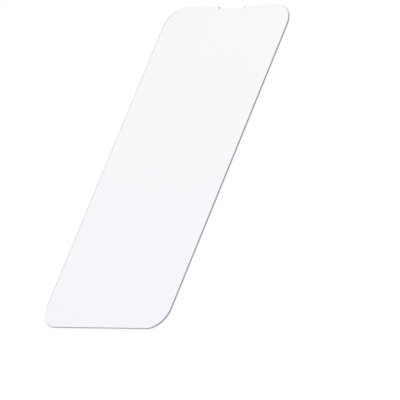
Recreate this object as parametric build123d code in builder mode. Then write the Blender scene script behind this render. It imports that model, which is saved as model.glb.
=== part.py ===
from build123d import *
import os

# A clear glass screen protector, lying on its back face, in millimetres.
# The origin is the middle of the back face. +X runs across the plate, +Y towards
# the earpiece notch in its top edge, and +Z out of its front face.

# The plate
plate_width = 65.8
plate_length = 142.0
plate_thickness = 0.55
corner_radius = 8.8

# The earpiece notch, in the middle of the top edge
notch_floor_width = 12.0
notch_depth = 1.1
notch_side_run = 1.2  # how far each S-shaped side reaches sideways, from floor to top edge

# The ground edge: a rounded front, a straight side wall and a small chamfer at the back
side_wall_height = 0.15
back_chamfer = 0.06
front_radius = plate_thickness - side_wall_height - back_chamfer

# Points of the outline's right half
half_width = plate_width / 2
half_length = plate_length / 2
corner_x = half_width - corner_radius
corner_y = half_length - corner_radius
notch_floor_x = notch_floor_width / 2
notch_floor_y = half_length - notch_depth
notch_mouth_x = notch_floor_x + notch_side_run
notch_side_middle = (notch_floor_x + notch_side_run / 2, half_length - notch_depth / 2)

with BuildPart() as glass_plate:
    with BuildSketch() as outline:
        with BuildLine() as outline_edge:
            Line((0, -half_length), (corner_x, -half_length))
            CenterArc((corner_x, -corner_y), corner_radius, -90, 90)
            Line((half_width, -corner_y), (half_width, corner_y))
            CenterArc((corner_x, corner_y), corner_radius, 0, 90)
            Line((corner_x, half_length), (notch_mouth_x, half_length))
            # Two equal arcs that meet halfway: one leaves the top edge, the other the floor
            TangentArc((notch_mouth_x, half_length), notch_side_middle, tangent=(-1, 0))
            TangentArc((notch_floor_x, notch_floor_y), notch_side_middle, tangent=(1, 0))
            Line((notch_floor_x, notch_floor_y), (0, notch_floor_y))
            mirror(about=Plane.YZ)
        make_face()
    extrude(amount=plate_thickness)
    fillet(faces().sort_by(Axis.Z)[-1].edges(), radius=front_radius)
    chamfer(faces().sort_by(Axis.Z)[0].edges(), length=back_chamfer)
glass_plate.part.label = "glass_plate"

os.makedirs("parts", exist_ok=True)
export_step(glass_plate.part, "parts/glass_plate.step")
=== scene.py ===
import math

import bmesh
import bpy
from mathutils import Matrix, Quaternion, Vector


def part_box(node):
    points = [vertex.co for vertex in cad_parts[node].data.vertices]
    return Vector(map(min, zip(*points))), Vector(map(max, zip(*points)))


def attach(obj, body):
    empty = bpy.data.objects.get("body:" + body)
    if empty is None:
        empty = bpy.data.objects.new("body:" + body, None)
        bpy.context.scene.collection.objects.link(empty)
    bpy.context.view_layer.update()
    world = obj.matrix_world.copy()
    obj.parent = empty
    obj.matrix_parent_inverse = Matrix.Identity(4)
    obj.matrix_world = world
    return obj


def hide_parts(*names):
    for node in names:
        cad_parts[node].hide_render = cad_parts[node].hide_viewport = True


# A clear glass screen protector lying on its back face on a white floor. The CAD plate gives
# the box. A finer mesh of the same outline and edge stands for it, in metres.

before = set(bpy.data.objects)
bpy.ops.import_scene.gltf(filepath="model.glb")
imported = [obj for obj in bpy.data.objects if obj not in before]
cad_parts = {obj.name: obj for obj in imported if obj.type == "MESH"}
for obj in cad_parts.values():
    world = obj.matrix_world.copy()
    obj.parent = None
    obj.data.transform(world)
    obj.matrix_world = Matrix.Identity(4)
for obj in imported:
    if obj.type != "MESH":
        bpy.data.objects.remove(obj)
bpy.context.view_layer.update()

MM = 0.001

# Sizes of the plate, as in the CAD
_, PLATE_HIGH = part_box("glass_plate")
HALF_WIDTH = PLATE_HIGH.x
HALF_LENGTH = PLATE_HIGH.y
THICKNESS = PLATE_HIGH.z
CORNER_RADIUS = 8.8 * MM
NOTCH_FLOOR_WIDTH = 12.0 * MM
NOTCH_DEPTH = 1.1 * MM
NOTCH_SIDE_RUN = 1.2 * MM
SIDE_WALL_HEIGHT = 0.15 * MM
BACK_CHAMFER = 0.06 * MM
FRONT_RADIUS = THICKNESS - SIDE_WALL_HEIGHT - BACK_CHAMFER

# How finely the mesh follows the curves
CORNER_STEPS = 32
NOTCH_ARC_STEPS = 12
FRONT_RADIUS_STEPS = 10
GROUND_STEPS = 6  # of those, from the side wall up: the edge is ground so far, and polished clear above
STRAIGHT_STEP = 4.0 * MM

# Looks of the plate
# The glass's own faint lavender tint, with a painted sheen of reflected light: painted lighter and more
# neutral from the bottom end to the notch end
TINT_WITH_PAINTED_SHEEN_BOTTOM_END = (0.940, 0.926, 0.976)
TINT_WITH_PAINTED_SHEEN_NOTCH_END = (0.971, 0.969, 0.986)
GLASS_IOR = 1.5
GLASS_ROUGHNESS = 0.02
GROUND_DARK = (0.31, 0.32, 0.34)
GROUND_LIGHT = (0.38, 0.39, 0.41)
GROUND_ROUGHNESS = 0.4
GRAIN_SCALE = 900.0
GRAIN_DETAIL = 3.0


# The plate's mesh

def arc(centre, radius, start, end, steps, outward):
    """Points of an arc with their outward normals, its angles in degrees. outward is -1 on a hollow arc."""
    points = []
    for i in range(steps + 1):
        angle = math.radians(start + (end - start) * i / steps)
        c, s = math.cos(angle), math.sin(angle)
        points.append((centre[0] + radius * c, centre[1] + radius * s, outward * c, outward * s))
    return points


def straight(a, b):
    """Points between the ends of two runs, which have the same normal there."""
    count = math.ceil(math.hypot(b[0] - a[0], b[1] - a[1]) / STRAIGHT_STEP)
    points = []
    for i in range(1, count):
        share = i / count
        points.append((a[0] + (b[0] - a[0]) * share, a[1] + (b[1] - a[1]) * share, a[2], a[3]))
    return points


def plate_outline():
    """The plate's outline from above, anticlockwise, as (x, y, normal x, normal y)."""
    corner_x = HALF_WIDTH - CORNER_RADIUS
    corner_y = HALF_LENGTH - CORNER_RADIUS
    floor_x = NOTCH_FLOOR_WIDTH / 2
    floor_y = HALF_LENGTH - NOTCH_DEPTH
    mouth_x = floor_x + NOTCH_SIDE_RUN
    # Each side of the notch is an S of two equal arcs
    side_radius = (NOTCH_SIDE_RUN**2 + NOTCH_DEPTH**2) / (4 * NOTCH_DEPTH)
    side_turn = math.degrees(2 * math.atan(NOTCH_DEPTH / NOTCH_SIDE_RUN))

    bottom_corner = arc((corner_x, -corner_y), CORNER_RADIUS, -90, 0, CORNER_STEPS, 1)
    top_corner = arc((corner_x, corner_y), CORNER_RADIUS, 0, 90, CORNER_STEPS, 1)
    mouth = arc((mouth_x, HALF_LENGTH - side_radius), side_radius, 90, 90 + side_turn, NOTCH_ARC_STEPS, 1)
    foot = arc((floor_x, floor_y + side_radius), side_radius, side_turn - 90, -90, NOTCH_ARC_STEPS, -1)

    bottom_middle = (0.0, -HALF_LENGTH, 0.0, -1.0)
    floor_middle = (0.0, floor_y, 0.0, 1.0)
    right = straight(bottom_middle, bottom_corner[0]) + bottom_corner
    right += straight(bottom_corner[-1], top_corner[0]) + top_corner
    right += straight(top_corner[-1], mouth[0]) + mouth
    right += foot[1:] + straight(foot[-1], floor_middle)
    left = [(-x, y, -nx, ny) for x, y, nx, ny in reversed(right)]
    return [bottom_middle] + right + [floor_middle] + left


def edge_profile():
    """The edge from back to front: (inset, height, and for the faces below and above, the normal's
    outward and upward shares). The shares differ where the edge has a corner."""
    slope = math.sqrt(0.5)
    flat_back, chamfer, wall = (0.0, -1.0), (slope, -slope), (1.0, 0.0)
    wall_top = BACK_CHAMFER + SIDE_WALL_HEIGHT
    profile = [
        (BACK_CHAMFER, 0.0, flat_back, chamfer),
        (0.0, BACK_CHAMFER, chamfer, wall),
        (0.0, wall_top, wall, wall),
    ]
    for i in range(1, FRONT_RADIUS_STEPS + 1):
        angle = math.radians(90 * i / FRONT_RADIUS_STEPS)
        c, s = math.cos(angle), math.sin(angle)
        profile.append((FRONT_RADIUS * (1 - c), wall_top + FRONT_RADIUS * s, (c, s), (c, s)))
    return profile


def plate_mesh(name):
    """A closed mesh of the plate with exact normals: material 1 where the edge is ground, 0 elsewhere."""
    outline = plate_outline()
    profile = edge_profile()
    count = len(outline)
    vertices = []
    for inset, height, _, _ in profile:
        for x, y, nx, ny in outline:
            vertices.append((x - nx * inset, y - ny * inset, height))

    faces = [list(range(count - 1, -1, -1))]
    normals = [(0.0, 0.0, -1.0)] * count
    for ring in range(len(profile) - 1):
        lower, upper = profile[ring][3], profile[ring + 1][2]
        low, high = ring * count, (ring + 1) * count
        for i in range(count):
            j = (i + 1) % count
            faces.append([low + i, low + j, high + j, high + i])
            for at, (out, up) in ((i, lower), (j, lower), (j, upper), (i, upper)):
                normals.append((outline[at][2] * out, outline[at][3] * out, up))
    top = (len(profile) - 1) * count
    faces.append(list(range(top, top + count)))
    normals += [(0.0, 0.0, 1.0)] * count

    mesh = bpy.data.meshes.new(name)
    mesh.from_pydata(vertices, [], faces)
    mesh.polygons.foreach_set("use_smooth", [True] * len(faces))
    ground = (len(profile) - 1 - FRONT_RADIUS_STEPS + GROUND_STEPS) * count
    mesh.polygons.foreach_set("material_index", [0] + [1] * ground + [0] * (len(faces) - 1 - ground))
    mesh.normals_split_custom_set(normals)
    mesh.update()
    return mesh


# The plate's materials

def new_material(name, shader_type="ShaderNodeBsdfPrincipled"):
    """A material with one shader and nothing else on its output."""
    material = bpy.data.materials.new(name)
    material.use_nodes = True
    tree = material.node_tree
    tree.nodes.clear()
    output = tree.nodes.new("ShaderNodeOutputMaterial")
    shader = tree.nodes.new(shader_type)
    tree.links.new(shader.outputs[0], output.inputs["Surface"])
    return material, shader


def object_position(tree):
    """The place in the object's own frame, so that a material stays put on it."""
    return tree.nodes.new("ShaderNodeTexCoord").outputs["Object"]


def share_of_range(tree, axis, start, end):
    """How far along an axis of the object a point is, from 0 at start to 1 at end."""
    split = tree.nodes.new("ShaderNodeSeparateXYZ")
    share = tree.nodes.new("ShaderNodeMapRange")
    share.inputs["From Min"].default_value = start
    share.inputs["From Max"].default_value = end
    tree.links.new(object_position(tree), split.inputs["Vector"])
    tree.links.new(split.outputs[axis], share.inputs["Value"])
    return share.outputs["Result"]


def blend_colours(tree, factor, first, second):
    """A Mix node from one colour to another."""
    mix = tree.nodes.new("ShaderNodeMix")
    mix.data_type = "RGBA"
    tree.links.new(factor, mix.inputs["Factor"])
    mix.inputs["A"].default_value = (*first, 1.0)
    mix.inputs["B"].default_value = (*second, 1.0)
    return mix.outputs["Result"]


def clear_glass():
    """Clear glass, faintly lavender, with a painted sheen: painted lighter and a little more neutral towards
    the notch end.
    """
    material, shader = new_material("clear_glass")
    tree = material.node_tree
    # Painted sheen: the tint is painted lighter and more neutral along the plate towards the notch end
    painted_sheen_along = share_of_range(tree, "Y", -HALF_LENGTH, HALF_LENGTH)
    tint_and_painted_sheen = blend_colours(tree, painted_sheen_along, TINT_WITH_PAINTED_SHEEN_BOTTOM_END, TINT_WITH_PAINTED_SHEEN_NOTCH_END)
    tree.links.new(tint_and_painted_sheen, shader.inputs["Base Color"])
    shader.inputs["Roughness"].default_value = GLASS_ROUGHNESS
    shader.inputs["IOR"].default_value = GLASS_IOR
    shader.inputs["Transmission Weight"].default_value = 1.0
    return material


def ground_edge():
    """The finely ground edge: a cool grey that scatters light, with a fine grain."""
    material, shader = new_material("ground_edge")
    tree = material.node_tree
    grain = tree.nodes.new("ShaderNodeTexNoise")
    grain.inputs["Scale"].default_value = GRAIN_SCALE
    grain.inputs["Detail"].default_value = GRAIN_DETAIL
    tree.links.new(object_position(tree), grain.inputs["Vector"])
    grey = blend_colours(tree, grain.outputs["Fac"], GROUND_DARK, GROUND_LIGHT)
    tree.links.new(grey, shader.inputs["Base Color"])
    shader.inputs["Roughness"].default_value = GROUND_ROUGHNESS
    shader.inputs["IOR"].default_value = GLASS_IOR
    return material


def add_object(name, mesh, *materials):
    """An object in the scene, with its materials in the order of their numbers."""
    for material in materials:
        mesh.materials.append(material)
    added = bpy.data.objects.new(name, mesh)
    bpy.context.scene.collection.objects.link(added)
    return added


plate = add_object("plate", plate_mesh("plate"), clear_glass(), ground_edge())
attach(plate, "root")
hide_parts("glass_plate")


# The floor

FLOOR_HALF = 10.0
FLOOR_GAP = 0.05 * MM  # keeps the floor clear of the plate's back face
FLOOR_COLOUR = (0.97, 0.97, 0.97)
FLOOR_SHADE = 0.25  # how much of the plate's shadow the floor keeps


def math_result(tree, operation, first, second):
    """What a Math node makes of a socket and a second socket or number."""
    node = tree.nodes.new("ShaderNodeMath")
    node.operation = operation
    tree.links.new(first, node.inputs[0])
    if isinstance(second, float):
        node.inputs[1].default_value = second
    else:
        tree.links.new(second, node.inputs[1])
    return node.outputs["Value"]


def seen_share(tree, direct):
    """Light Path nodes that give 1 to rays from glass and gloss, direct to the camera's own rays and 0
    to the rest."""
    path = tree.nodes.new("ShaderNodeLightPath")
    share = math_result(tree, "MULTIPLY", path.outputs["Is Camera Ray"], direct)
    for kind in ("Is Glossy Ray", "Is Transmission Ray"):
        share = math_result(tree, "MAXIMUM", share, path.outputs[kind])
    return share


def floor_material():
    """A white floor. The camera sees it as plain white, with some of the plate's shadow. It shows in the
    glass and through it without that shadow, because clear glass lets the light past."""
    material, shader = new_material("white_floor")
    shader.inputs["Base Color"].default_value = (*FLOOR_COLOUR, 1.0)
    shader.inputs["Roughness"].default_value = 1.0
    shader.inputs["Specular IOR Level"].default_value = 0.0
    tree = material.node_tree
    white = tree.nodes.new("ShaderNodeEmission")
    mix = tree.nodes.new("ShaderNodeMixShader")
    tree.links.new(seen_share(tree, 1.0 - FLOOR_SHADE), mix.inputs["Fac"])
    tree.links.new(shader.outputs["BSDF"], mix.inputs[1])
    tree.links.new(white.outputs["Emission"], mix.inputs[2])
    tree.links.new(mix.outputs["Shader"], tree.nodes["Material Output"].inputs["Surface"])
    return material


def floor_mesh():
    """One large square just under the plate."""
    mesh = bpy.data.meshes.new("floor")
    signs = ((-1, -1), (1, -1), (1, 1), (-1, 1))
    corners = [(x * FLOOR_HALF, y * FLOOR_HALF, -FLOOR_GAP) for x, y in signs]
    mesh.from_pydata(corners, [], [(0, 1, 2, 3)])
    return mesh


add_object("floor", floor_mesh(), floor_material())


# The light

DOME_LEVEL = 0.78
KEY_DIRECTION = (-0.80, 1.05, 1.20)  # towards the lamp
KEY_SPREAD = 30.0
KEY_STRENGTH = 1.25
TENT_RADIUS = 0.20
TENT_SEGMENTS = 96
TENT_RINGS = 64

# The tent's brightness by height, as a share of its radius
TENT_STOPS = ((0.00, 1.00), (0.12, 1.00), (0.33, 0.42), (0.52, 0.78), (1.00, 0.92))


def soft_dome():
    """A plain white dome that lights the scene evenly. What is seen of it past the floor is full white."""
    world = bpy.data.worlds.new("dome")
    bpy.context.scene.world = world
    world.use_nodes = True
    tree = world.node_tree
    background = tree.nodes["Background"]
    background.inputs["Color"].default_value = (1.0, 1.0, 1.0, 1.0)
    level = math_result(tree, "MAXIMUM", seen_share(tree, 1.0), DOME_LEVEL)
    tree.links.new(level, background.inputs["Strength"])


def soft_sun(name, direction, spread, strength):
    """A distant lamp, as soft as its spread in degrees. It doesn't show as a patch of glare in the glass."""
    data = bpy.data.lights.new(name, "SUN")
    data.angle = math.radians(spread)
    data.energy = strength
    lamp = bpy.data.objects.new(name, data)
    bpy.context.scene.collection.objects.link(lamp)
    lamp.visible_glossy = False
    lamp.visible_transmission = False
    lamp.rotation_mode = "QUATERNION"
    lamp.rotation_quaternion = (-Vector(direction)).to_track_quat("-Z", "Y")


def tent_material():
    """Light that changes with height: white at the floor, then a darker band, and pale overhead."""
    material, light = new_material("tent", "ShaderNodeEmission")
    tree = material.node_tree
    ramp = tree.nodes.new("ShaderNodeValToRGB")
    ramp.color_ramp.interpolation = "EASE"
    stops = ramp.color_ramp.elements
    while len(stops) < len(TENT_STOPS):
        stops.new(0.5)
    for stop, (height, level) in zip(stops, TENT_STOPS):
        stop.position = height
        stop.color = (level, level, level, 1.0)
    tree.links.new(share_of_range(tree, "Z", 0.0, TENT_RADIUS), ramp.inputs["Fac"])
    tree.links.new(ramp.outputs["Color"], light.inputs["Color"])
    return material


def tent_mesh():
    """A smooth ball round the plate, of which the half above the floor is used."""
    form = bmesh.new()
    bmesh.ops.create_uvsphere(form, u_segments=TENT_SEGMENTS, v_segments=TENT_RINGS, radius=TENT_RADIUS)
    mesh = bpy.data.meshes.new("tent")
    form.to_mesh(mesh)
    form.free()
    mesh.polygons.foreach_set("use_smooth", [True] * len(mesh.polygons))
    return mesh


def light_tent():
    """A round tent close over the plate, for the soft sheen that changes across the glass. It shows in
    reflections alone: it throws no light or shadow on the floor and hides nothing."""
    tent = add_object("tent", tent_mesh(), tent_material())
    tent.visible_camera = False
    tent.visible_diffuse = False
    tent.visible_shadow = False


soft_dome()
soft_sun("key", KEY_DIRECTION, KEY_SPREAD, KEY_STRENGTH)
light_tent()


# The camera, with its angles in degrees and its lens and sensor in millimetres

CAMERA_AZIMUTH = 62.090
CAMERA_ELEVATION = 38.235
CAMERA_ROLL = -49.631
CAMERA_DISTANCE = 2.8187
CAMERA_LENS = 674.3
CAMERA_SENSOR = 36.0
CAMERA_AIM = Vector((24.44, -15.00, 0.0)) * MM
NEAREST_SEEN = 0.1
FARTHEST_SEEN = 40.0

azimuth = math.radians(CAMERA_AZIMUTH)
elevation = math.radians(CAMERA_ELEVATION)
towards_camera = Vector(
    (math.sin(azimuth) * math.cos(elevation), -math.cos(azimuth) * math.cos(elevation), math.sin(elevation))
)
camera_data = bpy.data.cameras.new("camera")
camera_data.sensor_width = CAMERA_SENSOR
camera_data.lens = CAMERA_LENS
camera_data.clip_start = NEAREST_SEEN
camera_data.clip_end = FARTHEST_SEEN
camera = bpy.data.objects.new("camera", camera_data)
bpy.context.scene.collection.objects.link(camera)
camera.location = CAMERA_AIM + towards_camera * CAMERA_DISTANCE
camera.rotation_mode = "QUATERNION"
unrolled = (-towards_camera).to_track_quat("-Z", "Y")
camera.rotation_quaternion = unrolled @ Quaternion((0.0, 0.0, 1.0), math.radians(CAMERA_ROLL))
bpy.context.scene.camera = camera

bpy.context.scene.view_settings.view_transform = "Standard"
